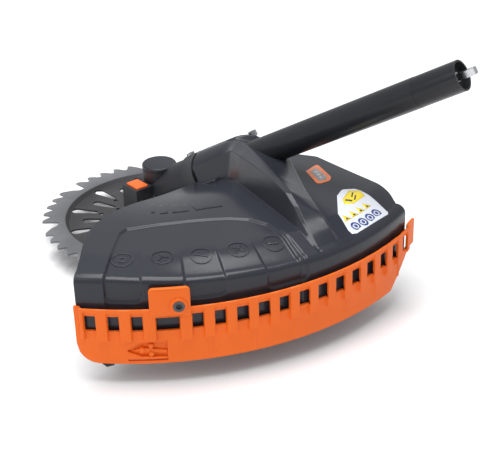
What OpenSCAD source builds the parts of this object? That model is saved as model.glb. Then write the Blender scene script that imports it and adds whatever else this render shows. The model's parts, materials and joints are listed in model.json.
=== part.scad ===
// Cutting head of a brush cutter: gear head, saw blade, tube and a fixed guard with its skirt.
// Frame: the spindle's axis is Z, the tube leaves towards +X and up, and the origin is the
// free end of the spindle's threaded stud.

/* [Tube] */
// Outer diameter of the shaft tube
tube_d = 25.4; // [24:0.1:26]
// Wall of the shaft tube
tube_wall = 1.5; // [1:0.1:2]
// Rise of the tube above the blade's plane, in degrees
tube_rise = 29.26; // [28:0.01:31]
// Distance from the spindle's axis to the free end of the tube
tube_end = 330; // [300:1:400]

/* [Blade] */
// Diameter over the tooth tips
blade_d = 225; // [200:1:230]
// Thickness of the blade
blade_t = 1.8; // [1.4:0.1:2]
// Depth of the blade's dish below the toothed rim
dish_depth = 5; // [3:0.5:6]
// Height of the toothed rim above the stud's free end
rim_z = 22; // [22:0.5:24]
// Number of tooth groups, each with a deep gullet
tooth_groups = 8; // [6:1:9]

/* [Gear head] */
// Height at which the tube's axis crosses the spindle's axis, above the toothed rim
cross_h = 21.4; // [21:0.1:22]
// Outer radius of the round cap
cap_r = 15.9; // [15.5:0.1:16.5]
// Outer radius of the neck
neck_r = 19.5; // [19:0.1:20]
// Teeth of the pinion; the crown gear has twice as many
pinion_teeth = 10; // [10:1:10]

/* [Guard] */
// Outer radius of the guard's wall, about the spindle's axis
guard_r = 247; // [240:1:250]
// Height of the guard's top face above the toothed rim
guard_h = 70; // [66:1:74]
// Wall of the guard
guard_wall = 3; // [2.5:0.5:4]
// Angle at which the guard ends on the discharge side
guard_from = -71.5; // [-75:0.5:-68]
// Angle at which the guard's wall ends on the tube's side
guard_to = -1; // [-4:0.5:0]

/* [Skirt] */
// Height of the skirt's lower edge above the toothed rim
skirt_low = -3.9; // [-6:0.1:-2]
// Height of the skirt's upper edge above the toothed rim
skirt_high = 45.4; // [42:0.1:48]
// Angle at which the skirt ends on the tube's side
skirt_to = 2.4; // [1:0.1:4]

/* [Hidden] */
$fn = 96;
GAP = 0.05;      // radial clearance of a running fit
CLEAR = 0.4;     // space between neighbouring pieces
PAINT = 0.16;    // thick coat on the tube, left off where the coupling clamps it
BARE_END = 40;   // length of the uncoated end
LOCATING_HOLE = 25;      // distance of the locating hole from the tube's end
LOCATING_R = 3;
tube_r = tube_d / 2 + PAINT;
cross_z = rim_z + cross_h;
guard_top = rim_z + guard_h;
hub_z = rim_z - dish_depth;

// Blade: long and short slots in turn, each with a small hole at its inner end
SLOTS = 24;
SLOT_TURN = 20.5;
LONG_SLOT = [65.5, 83.5, 10];    // distances of its ends' centres and its width
SHORT_SLOT = [53.5, 71, 9];
LONG_HOLE_AT = 59;
SHORT_HOLE_AT = 46.5;
HOLE_R = 2.2;
HOLE_TURN = 2.8;
GROUP_TURN = 6.5;
GULLET = 7.4;        // depth below the tooth tips
DEEP_GULLET = 15.5;
GROUND_WIDTH = 21.5; // flat toothed rim, from the tips inwards
DISH_STEP = 3.5;     // drop just inside the rim
FLAT_R = 34;         // clamped middle of the blade

// Stack on the stud, from the blade downwards
STUD_R = 5;
CORE_R = 4.8;        // stud above its free end, inside the nut and the clamped stack
STUD_FREE = 5;       // length of the free end
arbor_r = 12.7;
washer_t = 2;
washer_z = hub_z - blade_t - washer_t;
cup_t = 2;
cup_z = washer_z - cup_t;
CUP_LOW = -2;
CUP_R = 37;
nut_h = 5.6;
lock_plate_t = 5;
lock_plate_r = 29;
NOTCHES = 12;

// Spindle and its bearings
SPINDLE_R = 7.5;
lower_z = hub_z + lock_plate_t + 5;
LOWER_OD_R = 16;
LOWER_H = 9;
UPPER_SHAFT_R = 4;
UPPER_OD_R = 11;
UPPER_H = 7;
upper_z = cross_z + 17.8;
cap_z = upper_z + UPPER_H + 0.3;
cap_top = rim_z + 51;
CAP_SCREWS = [-180, -60];    // directions of the screws under the cap
CAP_SCREW_AT = 12.5;
case_low = hub_z + lock_plate_t + 1;
case_r = 20.8;

// Gears: a pinion cone that rolls on a flat crown gear, both with their apex at the crossing
GEAR_OUT = 17;
GEAR_IN = 10.5;
gear_teeth = 2 * pinion_teeth;
gear_module = 2 * GEAR_OUT / gear_teeth;
TOOTH_UP = 0.75;     // height of a tooth above the pitch surface, in modules
TOOTH_DOWN = 1.15;   // depth of a gap below the pitch surface, in modules

// Pinion bearings, seen along the tube
PINION_R = 5;
PINION_OD_R = 13;
PINION_H = 8;
pinion_bearings = [20, 28.4];
tube_start = 41;
neck_end = 47;
collar_end = 60;
COLLAR_R = 21.3;
COLLAR_SCREWS_AT = 53;
CLAMP_SCREW_X = 16.6;
CLAMP_SCREW_SEAT = 9;
socket_end = 58;
DRIVE_R = 4;
drive_end = tube_end + 12;
DRIVE_SQUARE = 5.6;  // across the squared end
bore_r = tube_d / 2 - tube_wall;
bushes = [150, 270];
BUSH_LENGTH = 22;
END_CAP_LENGTH = 8;

// Lock: a button that pushes a pin into the lock plate
LOCK_ANGLE = -110;
LOCK_RING_R = 26;
PIN_R = 2.6;
NOTCH_R = 3.2;
button_size = [12.5, 17, 9];
button_top = rim_z + 38;
spring_z0 = button_top - 27;

// Guard tunnel around the tube
tunnel_from = 61;
tunnel_to = 100;
clamp_to = 90;
clamp_screws_at = [68, 84];
EAR_Y = 27;          // clamp screws, to either side of the tube
EAR_IN = 18.5;       // ears beside the tube that the clamp is screwed to
EAR_OUT = 33;
EAR_LOW = 8;         // their lower face, below the tube's axis
WING_T = 4;
SCREW_HOLE_R = 2.1;
SCREW_SEAT_R = 3.9;
SIDE_BOLT_AT = 112;
SIDE_BOLT_Y = 19;
TUNNEL_R = 22;
RIDGE_PLAN = [[82, -24], [206, -100], [232, -96], [132, 20], [112, 29], [82, 29]];    // outer outline, anticlockwise
ridge_turn = -35;
ridge_flat = 95;
ridge_length = 140;
ridge_rise = 21;
RIDGE_END = 1.5;
RIM_STEP = 0.8;      // small step where the top face meets the wall

// Skirt: hooks with windows between them
skirt_t = 2.4;
skirt_r = guard_r + CLEAR + skirt_t;
HOOK_RISE = 2.5;
SKIRT_CORNER = 17;   // radius of the lower corner at the discharge end
KNIFE_ANGLE = -67;
KNIFE_R = guard_r - 2.6;
FIRST_WINDOWS = 3;       // on the discharge side of the screw tab
LAST_WINDOWS = 13;
WINDOW_STEP = 4.1;
LAST_STEP = 3.95;
WINDOW_WIDTH = 9;
first_window = guard_from + 2.5;
tab_from = guard_from + 13;
tab_to = tab_from + 7;
wide_window = tab_from + 3;
last_window = tab_to + 1.2;
screw_angle = tab_to - 2;
SCREW_H = 47.6;

// Places its children at a distance along the tube's axis, with Z along the tube and -X on its upper side
module on_tube(distance) {
  translate([0, 0, cross_z]) rotate([0, 90 - tube_rise, 0]) translate([0, 0, distance]) children();
}

module ring(outer, inner, height, z = 0) {
  translate([0, 0, z]) difference() {
    cylinder(r = outer, h = height);
    translate([0, 0, -1]) cylinder(r = inner, h = height + 2);
  }
}

// A stretch of a ring about the spindle's axis
module arc_wall(outer, inner, z_low, z_high, from, to) {
  rotate([0, 0, from]) rotate_extrude(angle = to - from, $fn = 180)
    translate([inner, z_low]) square([outer - inner, z_high - z_low]);
}

// Socket-head screw standing on its head's seat at z = 0, with its shank along -Z
module socket_screw(head_r, head_h, shank_r, shank_h) {
  difference() {
    union() {
      cylinder(r = head_r, h = head_h);
      translate([0, 0, -shank_h]) cylinder(r = shank_r, h = shank_h + 0.1);
    }
    translate([0, 0, head_h / 2]) cylinder(r = head_r * 0.55, h = head_h, $fn = 6);
  }
}

// ---- tube and drive shaft ----

module shaft_tube() {
  color("#26272b") on_tube(tube_start) difference() {
    union() {
      cylinder(r = tube_r, h = tube_end - tube_start - BARE_END);
      cylinder(r = tube_d / 2, h = tube_end - tube_start);
    }
    translate([0, 0, -1]) cylinder(r = bore_r, h = tube_end - tube_start + 2);
    translate([0, 0, tube_end - tube_start - LOCATING_HOLE]) rotate([-90, 0, 0]) cylinder(r = LOCATING_R, h = tube_d);
  }
}

module shaft_bushes() {
  color("#3a3a3c") for (d = bushes) on_tube(d)
    ring(bore_r, DRIVE_R + GAP, BUSH_LENGTH);
}

module drive_shaft() {
  square_from = tube_end - 4;
  color("#b9bcc0") {
    on_tube(socket_end - 12) cylinder(r = DRIVE_R, h = square_from - socket_end + 12);
    on_tube(square_from) translate([-DRIVE_SQUARE / 2, -DRIVE_SQUARE / 2, -0.1])
      cube([DRIVE_SQUARE, DRIVE_SQUARE, drive_end - square_from + 0.1]);
  }
}

module tube_end_cap() {
  color("#1b1b1d") on_tube(tube_end - END_CAP_LENGTH - 6) ring(bore_r - GAP, DRIVE_R + GAP, END_CAP_LENGTH);
}

// ---- gear head casing ----

module lock_frame() {
  rotate([0, 0, LOCK_ANGLE]) translate([LOCK_RING_R, 0, 0]) children();
}

module casing_solid() {
  translate([0, 0, case_low]) cylinder(r = case_r, h = cross_z + 4 - case_low);
  translate([0, 0, cross_z + 4]) cylinder(r1 = case_r, r2 = cap_r, h = 6);
  translate([0, 0, cross_z]) cylinder(r = cap_r, h = cap_z - cross_z);
  intersection() {
    on_tube(0) cylinder(r = neck_r, h = neck_end);
    translate([0, -50, case_low]) cube([120, 100, 120]);
  }
  on_tube(neck_end) cylinder(r = COLLAR_R, h = collar_end - neck_end);
  lock_frame() translate([-9, -11, case_low]) cube([18, 22, button_top - 1.5 - case_low]);
}

module gear_housing() {
  pocket = [button_size[0] + 0.4, button_size[1] + 0.4];
  color("#2f3136") difference() {
    casing_solid();
    // gear room, spindle bearings and seal
    translate([0, 0, case_low - 1]) cylinder(r = LOWER_OD_R, h = lower_z + LOWER_H - case_low + 1);
    translate([0, 0, case_low + 2.8]) cylinder(r = LOWER_OD_R + 1, h = 1.3);
    translate([0, 0, lower_z + LOWER_H - 0.1]) cylinder(r = GEAR_OUT + 0.8, h = 11);
    translate([0, 0, cross_z]) cylinder(r = 9, h = cap_z - cross_z + 1);
    translate([0, 0, upper_z]) cylinder(r = UPPER_OD_R, h = UPPER_H + 2);
    // pinion room, its bearings and the tube's socket
    on_tube(5) cylinder(r = 11.2, h = 20);
    on_tube(pinion_bearings[0] - 0.2) cylinder(r = PINION_OD_R, h = tube_start + 0.2 - pinion_bearings[0]);
    on_tube(pinion_bearings[1] + PINION_H + 0.2) cylinder(r = PINION_OD_R + 1.2, h = 1.3);
    on_tube(tube_start - 0.1) cylinder(r = tube_r + GAP, h = collar_end);
    // cap's seat, slit, screw holes
    translate([0, 0, cap_z]) cylinder(r = cap_r + 0.02, h = 12);
    on_tube(neck_end + 1) translate([COLLAR_R - 10, -1, 0]) cube([12, 2, 20]);
    on_tube(COLLAR_SCREWS_AT) translate([CLAMP_SCREW_X, 0, 0]) rotate([90, 0, 0]) {
      cylinder(r = SCREW_HOLE_R, h = 60, center = true);
      translate([0, 0, CLAMP_SCREW_SEAT]) cylinder(r = SCREW_SEAT_R, h = 20);
    }
    on_tube(COLLAR_SCREWS_AT) translate([-COLLAR_R - 2, 0, 0]) rotate([0, 90, 0]) cylinder(r = SCREW_HOLE_R, h = 12);
    translate([0, case_r + 1, cross_z - 4]) rotate([90, 0, 0]) cylinder(r = 3, h = 6);
    // lock button's pocket and the pin's hole
    lock_frame() {
      translate([-pocket[0] / 2, -pocket[1] / 2, button_top - 28]) cube([pocket[0], pocket[1], 40]);
      translate([0, 0, case_low - 1]) cylinder(r = PIN_R + GAP, h = 60);
    }
  }
}

module housing_cap() {
  color("#33353b") difference() {
    union() {
      translate([0, 0, cap_z]) cylinder(r = cap_r, h = cap_top - cap_z - 1);
      translate([0, 0, cap_top - 1]) cylinder(r1 = cap_r, r2 = cap_r - 1, h = 1);
    }
    translate([0, 0, cap_z - 1]) cylinder(r = UPPER_SHAFT_R + 3, h = 3);
    for (turn = CAP_SCREWS) rotate([0, 0, turn]) translate([CAP_SCREW_AT, 0, cap_z - 1])
      cylinder(r = 1.3, h = 3.6);
  }
}

module cap_screws() {
  color("#9a9da1") for (turn = CAP_SCREWS) rotate([0, 0, turn]) translate([CAP_SCREW_AT, 0, cap_z])
    cylinder(r = 1.25, h = 2.5);
}

module neck_locating_screw() {
  color("#a5a8ac") on_tube(COLLAR_SCREWS_AT) translate([-COLLAR_R - 0.1, 0, 0]) rotate([0, -90, 0])
    socket_screw(3.8, 2, 2, 7.6);
}

module neck_clamp_screw() {
  color("#a5a8ac") on_tube(COLLAR_SCREWS_AT) translate([CLAMP_SCREW_X, -CLAMP_SCREW_SEAT, 0]) rotate([90, 0, 0])
    socket_screw(3.6, 4, 2, 2 * CLAMP_SCREW_SEAT + 4);
}

module grease_screw() {
  color("#a5a8ac") translate([0, case_r + 0.2, cross_z - 4]) rotate([-90, 0, 0])
    socket_screw(4.6, 3, 2.9, 3);
}

// ---- bearings ----

// Half of a deep-groove bearing: a ring whose track is a torus groove
module track_ring(outer, inner, height, track_r, ball_r) {
  rotate_extrude() difference() {
    translate([inner, 0]) square([outer - inner, height]);
    translate([track_r, height / 2]) circle(r = ball_r + 0.05, $fn = 48);
  }
}

module ball_set(track_r, ball_r, height, balls) {
  for (i = [0:balls - 1]) rotate([0, 0, 360 * i / balls])
    translate([track_r, 0, height / 2]) sphere(r = ball_r, $fn = 24);
}

module lower_bearing_outer() {
  color("#c4c6ca") translate([0, 0, lower_z]) track_ring(LOWER_OD_R, 13.2, LOWER_H, 11.75, 2.4);
}
module lower_bearing_balls() {
  color("#dddfe2") translate([0, 0, lower_z]) ball_set(11.75, 2.3, LOWER_H, 9);
}
module lower_bearing_inner() {
  color("#c4c6ca") translate([0, 0, lower_z]) track_ring(10.3, SPINDLE_R, LOWER_H, 11.75, 2.4);
}
module upper_bearing_outer() {
  color("#c4c6ca") translate([0, 0, upper_z]) track_ring(UPPER_OD_R, 8.8, UPPER_H, 7.5, 1.9);
}
module upper_bearing_balls() {
  color("#dddfe2") translate([0, 0, upper_z]) ball_set(7.5, 1.8, UPPER_H, 7);
}
module upper_bearing_inner() {
  color("#c4c6ca") translate([0, 0, upper_z]) track_ring(6.2, UPPER_SHAFT_R, UPPER_H, 7.5, 1.9);
}
module pinion_bearing_outers() {
  color("#c4c6ca") for (d = pinion_bearings) on_tube(d) track_ring(PINION_OD_R, 10.6, PINION_H, 9, 2.3);
}
module pinion_bearing_balls() {
  color("#dddfe2") for (d = pinion_bearings) on_tube(d) ball_set(9, 2.2, PINION_H, 8);
}
module pinion_bearing_inners() {
  color("#c4c6ca") for (d = pinion_bearings) on_tube(d) track_ring(7.4, PINION_R, PINION_H, 9, 2.3);
}

// Spring clip: a ring with a gap at one side
module clip(outer, inner, height) {
  difference() {
    ring(outer, inner, height);
    translate([-3, 0, -1]) cube([6, outer + 5, height + 2]);
  }
}

module lower_retaining_ring() {
  color("#8d9095") translate([0, 0, case_low + 2.9]) clip(LOWER_OD_R + 0.8, LOWER_OD_R - 2.4, 1.1);
}
module pinion_retaining_ring() {
  color("#8d9095") on_tube(pinion_bearings[1] + PINION_H + 0.3)
    clip(PINION_OD_R + 0.9, PINION_OD_R - 2.2, 1.1);
}
module spindle_seal() {
  color("#1d1d1f") ring(LOWER_OD_R - 0.02, SPINDLE_R + GAP, 2.5, case_low + 0.2);
}

// ---- spindle, gears, blade ----

module output_spindle() {
  color("#b3b6ba") {
    cylinder(r = STUD_R, h = STUD_FREE);
    translate([0, 0, STUD_FREE - 0.1]) cylinder(r = CORE_R, h = hub_z - STUD_FREE + 0.2);
    translate([0, 0, hub_z + lock_plate_t]) cylinder(r = SPINDLE_R, h = lower_z + LOWER_H + 0.5 - hub_z - lock_plate_t);
    translate([0, 0, hub_z]) cylinder(r = CORE_R, h = lock_plate_t + 0.1);
    translate([0, 0, lower_z + LOWER_H]) cylinder(r = UPPER_SHAFT_R, h = upper_z + UPPER_H - lower_z - LOWER_H);
  }
}

// A tooth of the crown gear: it narrows towards the apex
module crown_tooth() {
  function section(r) = let (m = 2 * r / gear_teeth)
    [[r, -1.0 * m, -TOOTH_DOWN * m - 0.2], [r, 1.0 * m, -TOOTH_DOWN * m - 0.2],
     [r, 0.22 * m, TOOTH_UP * m], [r, -0.22 * m, TOOTH_UP * m]];
  polyhedron(points = concat(section(GEAR_IN), section(GEAR_OUT)),
    faces = [[0, 1, 2, 3], [7, 6, 5, 4], [0, 4, 5, 1], [1, 5, 6, 2], [2, 6, 7, 3], [3, 7, 4, 0]]);
}

module crown_gear() {
  base = lower_z + LOWER_H + 0.5;
  root = cross_z - TOOTH_DOWN * gear_module;
  color("#a9acb1") {
    ring(GEAR_OUT, UPPER_SHAFT_R + 0.02, root - base, base);
    translate([0, 0, cross_z]) for (i = [0:gear_teeth - 1])
      rotate([0, 0, 360 * i / gear_teeth + 180 / gear_teeth]) crown_tooth();
  }
}

// Outline of the pinion at its outer end: straight-sided teeth on a root circle
module pinion_outline() {
  pitch_r = pinion_teeth * gear_module / 2;
  root_r = pitch_r - TOOTH_DOWN * gear_module;
  tip_r = pitch_r + TOOTH_UP * gear_module;
  step = 360 / pinion_teeth;
  polygon([for (i = [0:pinion_teeth - 1]) for (p = [[-0.27, root_r], [-0.085, tip_r], [0.085, tip_r], [0.27, root_r]])
    p[1] * [cos((i + p[0]) * step), sin((i + p[0]) * step)]]);
}

module bevel_pinion() {
  cone_out = GEAR_OUT * cos(30);
  cone_in = GEAR_IN * cos(30);
  color("#a9acb1") {
    on_tube(cone_in) mirror([0, 0, 1]) translate([0, 0, -(cone_out - cone_in)])
      linear_extrude(height = cone_out - cone_in, scale = GEAR_IN / GEAR_OUT) pinion_outline();
    on_tube(cone_out - 0.1) cylinder(r = PINION_R + 1.6, h = pinion_bearings[0] - 0.2 - cone_out);
    on_tube(pinion_bearings[0] - 0.4) cylinder(r = PINION_R, h = tube_start - pinion_bearings[0]);
    on_tube(tube_start - 0.6) difference() {
      cylinder(r = 7, h = socket_end - tube_start + 0.6);
      translate([0, 0, 5.5]) cylinder(r = DRIVE_R + 0.02, h = 30);
    }
  }
}

module lock_plate() {
  color("#84878c") difference() {
    union() {
      translate([0, 0, hub_z]) cylinder(r = lock_plate_r, h = lock_plate_t);
      translate([0, 0, hub_z - blade_t + 0.1]) cylinder(r = arbor_r - GAP, h = blade_t);
    }
    translate([0, 0, hub_z - 5]) cylinder(r = STUD_R + 0.02, h = 20);
    for (i = [0:NOTCHES - 1]) rotate([0, 0, LOCK_ANGLE + 360 * i / NOTCHES]) {
      translate([LOCK_RING_R, 0, hub_z - 1]) cylinder(r = NOTCH_R, h = lock_plate_t + 2);
      translate([LOCK_RING_R, -NOTCH_R, hub_z - 1]) cube([8, 2 * NOTCH_R, lock_plate_t + 2]);
    }
  }
}

// Outline of the teeth, for a blade that turns anticlockwise: each tip has a short land behind it and
// a rounded gullet in front, and every group ends in a deep gullet
function blade_outline(groups) = let (tip = blade_d / 2, period = 360 / groups, step = period / 5.75)
  [for (g = [0:groups - 1]) for (k = [0:4]) let (a = g * period + k * step, wide = k == 4 ? 1.75 : 1,
    depth = k == 4 ? DEEP_GULLET : GULLET, end = step * wide)
    for (p = [[0, 0], [0.7, 0.55 * depth], [1.2, 0.85 * depth], [2, depth], [0.42 * end, 0.88 * depth],
      [0.58 * end, 0.5 * depth], [end - 2.1, 1.4], [end - 1.2, 0.4]])
      (tip - p[1]) * [cos(a + p[0]), sin(a + p[0])]];

// Tear-drop slot: ends is the distances of its two ends' centres and its width at the outer one
module slot(ends, turn) {
  inner_r = ends[2] * 0.27;
  rotate([0, 0, turn]) linear_extrude(height = 20, center = true) {
    translate([ends[0], 0]) circle(r = inner_r, $fn = 24);
    translate([ends[1], 0]) circle(r = ends[2] / 2, $fn = 24);
    polygon([[ends[0], -inner_r], [ends[1], -ends[2] / 2], [ends[1], ends[2] / 2], [ends[0], inner_r]]);
  }
}

module saw_blade() {
  rim_in = blade_d / 2 - GROUND_WIDTH;
  step_r = rim_in - 3;
  step_z = rim_z - DISH_STEP;
  color("#4a4c50") difference() {
    union() {
      translate([0, 0, rim_z - blade_t]) linear_extrude(height = blade_t) difference() {
        rotate([0, 0, GROUP_TURN]) polygon(blade_outline(tooth_groups));
        circle(r = rim_in - 0.01);
      }
      rotate_extrude() polygon([[arbor_r, hub_z - blade_t], [FLAT_R, hub_z - blade_t], [step_r, step_z - blade_t],
        [rim_in, rim_z - blade_t], [rim_in, rim_z], [step_r, step_z], [FLAT_R, hub_z], [arbor_r, hub_z]]);
    }
    translate([0, 0, rim_z]) for (i = [0:SLOTS - 1]) let (far = i % 2 == 0, turn = SLOT_TURN + 360 * i / SLOTS) {
      slot(far ? LONG_SLOT : SHORT_SLOT, turn);
      rotate([0, 0, turn + HOLE_TURN]) translate([far ? LONG_HOLE_AT : SHORT_HOLE_AT, 0, -20])
        cylinder(r = HOLE_R, h = 40);
    }
  }
}

module clamp_washer() {
  color("#9b9ea3") ring(24, STUD_R + 0.02, washer_t, washer_z);
}

module rider_cup() {
  color("#8b8e93") rotate_extrude() polygon([[STUD_R + 0.02, cup_z], [26, cup_z], [CUP_R - 4, CUP_LOW],
    [CUP_R, CUP_LOW], [CUP_R, CUP_LOW + 2], [28, cup_z + cup_t], [STUD_R + 0.02, cup_z + cup_t]]);
}

module collar_nut() {
  color("#a2a5aa") translate([0, 0, cup_z - nut_h]) difference() {
    union() {
      cylinder(r = 9.8, h = nut_h, $fn = 6);
      translate([0, 0, nut_h - 2]) cylinder(r = 12, h = 2);
    }
    translate([0, 0, -1]) cylinder(r = STUD_R + 0.02, h = nut_h + 2);
  }
}

// ---- lock ----

module lock_button() {
  color("#f2600f") lock_frame() translate([-button_size[0] / 2, -button_size[1] / 2, button_top - button_size[2]])
    cube(button_size);
}

module lock_pin() {
  color("#b3b6ba") lock_frame() translate([0, 0, hub_z + lock_plate_t + 0.6])
    cylinder(r = PIN_R, h = button_top - button_size[2] - hub_z - lock_plate_t - 0.6);
}

// Coil spring as a swept round wire
module lock_spring() {
  coil_r = 4.2;
  wire_r = 0.5;
  turns = 6;
  per_turn = 16;
  sides = 6;
  height = button_top - button_size[2] - 0.8 - spring_z0;
  rings = turns * per_turn;
  points = [for (i = [0:rings]) let (a = 360 * i / per_turn, z = spring_z0 + height * i / rings)
    for (k = [0:sides - 1]) let (b = 360 * k / sides, r = coil_r + wire_r * cos(b))
      [r * cos(a), r * sin(a), z + wire_r * sin(b)]];
  walls = [for (i = [0:rings - 1]) for (k = [0:sides - 1]) let (n = (k + 1) % sides)
    [i * sides + k, (i + 1) * sides + k, (i + 1) * sides + n, i * sides + n]];
  ends = [[for (k = [0:sides - 1]) k], [for (k = [sides - 1:-1:0]) rings * sides + k]];
  color("#c9cbce") lock_frame() polyhedron(points = points, faces = concat(walls, ends));
}

// ---- guard ----

// Plan of the guard's top face: it opens towards the blade and passes under the tube
module guard_plan() {
  intersection() {
    circle(r = guard_r - RIM_STEP, $fn = 180);
    polygon([[94, -265], [66, -205], [49, -176], [45, -150], [50, -118], [86, -52], [100, -24], [100, 34],
      [140, 46], [214, 14], [232, 2], [guard_r + 40, guard_r * sin(guard_to)], [guard_r + 40, -300], [110, -300]]);
  }
}

// Corner of an outline after its sides have moved inwards by a distance
function side_normal(p, q) = let (d = (q - p) / norm(q - p)) [-d[1], d[0]];
function inset_corner(o, p, q, inset) = let (n = side_normal(o, p), m = side_normal(p, q))
  p + inset / (1 + n * m) * (n + m);

// Rib from the tunnel to the rim: high beside the tube, with a top that falls to the rim
module ridge(grow, low) {
  corners = RIDGE_PLAN;
  count = len(corners);
  intersection() {
    translate([0, 0, guard_top - guard_wall - low]) linear_extrude(height = 60)
      polygon([for (i = [0:count - 1])
        inset_corner(corners[(i + count - 1) % count], corners[i], corners[(i + 1) % count], guard_wall - grow)]);
    translate([corners[0][0], corners[0][1], guard_top - guard_wall]) rotate([0, 0, ridge_turn]) rotate([90, 0, 0])
      linear_extrude(height = 200, center = true)
        polygon([[-40, -low], [-40, ridge_rise + grow], [ridge_flat, ridge_rise + grow],
          [ridge_length, RIDGE_END + grow], [ridge_length + 20, RIDGE_END + grow], [ridge_length + 20, -low]]);
  }
}

module guard_shell() {
  color("#3c3f46") difference() {
    union() {
      translate([0, 0, guard_top - guard_wall]) linear_extrude(height = guard_wall) guard_plan();
      arc_wall(guard_r, guard_r - guard_wall, rim_z + 12, guard_top - RIM_STEP, guard_from, guard_to);
      ridge(guard_wall, -0.5);
      on_tube(tunnel_from) intersection() {
        cylinder(r = TUNNEL_R, h = tunnel_to - tunnel_from);
        translate([-40, -40, -10]) cube([40, 80, 90]);
      }
      for (inner = [EAR_IN, -EAR_OUT]) on_tube(tunnel_from) translate([-1, inner, 0])
        cube([EAR_LOW + 1, EAR_OUT - EAR_IN, clamp_to - tunnel_from]);
      on_tube(SIDE_BOLT_AT - 8) translate([-13, 8, 0]) cube([13, 18, 15]);
    }
    difference() {
      ridge(0, 10);
      on_tube(tunnel_from - 1) cylinder(r = TUNNEL_R - 0.5, h = tunnel_to - tunnel_from + 10);
    }
    on_tube(tunnel_from - 30) cylinder(r = tube_r + GAP, h = 200);
    on_tube(tunnel_to + 16) cylinder(r = tube_r + 3, h = 200);
    on_tube(SIDE_BOLT_AT) translate([-30, SIDE_BOLT_Y, 0]) rotate([0, 90, 0]) {
      cylinder(r = 2.5, h = 45);
      cylinder(r = 4.3, h = 17);
    }
    for (side = [-1, 1]) for (d = clamp_screws_at) on_tube(d) translate([-20, side * EAR_Y, 0])
      rotate([0, 90, 0]) cylinder(r = SCREW_HOLE_R, h = 40);
  }
}

module guard_clamp() {
  color("#6f7278") on_tube(tunnel_from + 1) difference() {
    union() {
      intersection() {
        cylinder(r = tube_r + 5, h = clamp_to - tunnel_from - 2);
        translate([CLEAR, -40, -1]) cube([40, 80, 60]);
      }
      translate([EAR_LOW + CLEAR, -EAR_OUT, 0]) cube([WING_T, 2 * EAR_OUT, clamp_to - tunnel_from - 2]);
    }
    translate([0, 0, -1]) cylinder(r = tube_r + GAP, h = 60);
    for (side = [-1, 1]) for (d = clamp_screws_at) translate([-20, side * EAR_Y, d - tunnel_from - 1])
      rotate([0, 90, 0]) cylinder(r = SCREW_HOLE_R, h = 40);
  }
}

module guard_clamp_screws() {
  color("#a5a8ac") for (side = [-1, 1]) for (d = clamp_screws_at) on_tube(d)
    translate([EAR_LOW + CLEAR + WING_T + 0.1, side * EAR_Y, 0]) rotate([0, 90, 0]) socket_screw(3.8, 3.4, 2, 8);
}

module guard_side_bolt() {
  color("#b9bcc0") on_tube(SIDE_BOLT_AT) translate([-13.02, SIDE_BOLT_Y, 0]) rotate([0, -90, 0])
    socket_screw(3.8, 5, 2.4, 16);
}

// ---- skirt and small pieces ----

// Angles of the windows' middles, without the wide one under the screw tab
window_angles = concat([for (i = [0:FIRST_WINDOWS - 1]) first_window + i * WINDOW_STEP],
  [for (i = [0:LAST_WINDOWS - 1]) last_window + i * LAST_STEP]);

// Opening through the skirt with a recess above and below it, which leaves the hooks standing between them
module skirt_window(middle, width) {
  rotate([0, 0, middle]) {
    translate([guard_r - 3, -width / 2, rim_z + 25]) cube([14, width, 13]);
    translate([skirt_r + 0.3, -width / 2 - 0.5, rim_z + 16]) cube([9, width + 1, 32]);
  }
}

module guard_skirt() {
  low = rim_z + skirt_low;
  color("#f2600f") difference() {
    union() {
      arc_wall(skirt_r, guard_r + CLEAR, low, rim_z + skirt_high, guard_from - 0.3, skirt_to);
      arc_wall(skirt_r + HOOK_RISE, skirt_r - 1, rim_z + 17, rim_z + skirt_high - 0.5, guard_from + 0.7, skirt_to - 3.5);
      arc_wall(skirt_r + HOOK_RISE + 0.5, guard_r + CLEAR + 0.3, rim_z + 40, rim_z + 63, tab_from, tab_to);
    }
    for (middle = window_angles) skirt_window(middle, WINDOW_WIDTH);
    skirt_window(wide_window, 2 * WINDOW_WIDTH);
    rotate([0, 0, screw_angle]) translate([skirt_r - 20, 0, rim_z + SCREW_H]) rotate([0, 90, 0])
      cylinder(r = 2.7, h = 40);
    // rounded lower corner at the discharge end
    rotate([0, 0, guard_from - 0.3]) translate([skirt_r, 0, low]) rotate([90, 0, 90])
      linear_extrude(height = 20, center = true) difference() {
        translate([-1, -1]) square(SKIRT_CORNER + 1);
        translate([SKIRT_CORNER, SKIRT_CORNER]) circle(r = SKIRT_CORNER);
      }
    // slanted lower corner at the tube's end
    rotate([0, 0, skirt_to]) translate([skirt_r, 0, low]) rotate([90, 0, 90])
      linear_extrude(height = 30, center = true) polygon([[1, -1], [-42, -1], [-11, 27], [1, 27]]);
  }
}

module skirt_screw() {
  color("#2a2a2c") rotate([0, 0, screw_angle]) translate([skirt_r + HOOK_RISE + 0.6, 0, rim_z + SCREW_H])
    rotate([0, 90, 0]) socket_screw(4.4, 1.6, 2.5, 4.5);
}

// Where the knife stands: inside the skirt, near its discharge end
module knife_frame() {
  rotate([0, 0, KNIFE_ANGLE]) translate([KNIFE_R, 0, rim_z + skirt_low]) rotate([90, 0, 90]) children();
}

module line_knife() {
  color("#3a3c40") knife_frame() difference() {
    linear_extrude(height = 1.6) polygon([[-7, 0], [0, -6], [6, -4], [10, 15], [-10, 15]]);
    for (side = [-5, 5]) translate([side, 10, -1]) cylinder(r = 1.6, h = 4);
  }
}

module knife_screws() {
  color("#a5a8ac") knife_frame() for (side = [-5, 5]) translate([side, 10, -0.05])
    mirror([0, 0, 1]) socket_screw(3, 1.8, 1.45, 1.6);
}

module guard_label() {
  color("#e9eaec") translate([0, 0, guard_top + 0.02]) linear_extrude(height = 0.35)
    polygon([[196, -6], [188, -24], [198, -44], [224, -76], [236, -30], [202, -6]]);
}

module guard_tag() {
  color("#e8703a") translate([164, 10, guard_top + 0.02]) rotate([0, 0, -34]) linear_extrude(height = 0.35)
    translate([-14, -8]) square([28, 16]);
}

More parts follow.
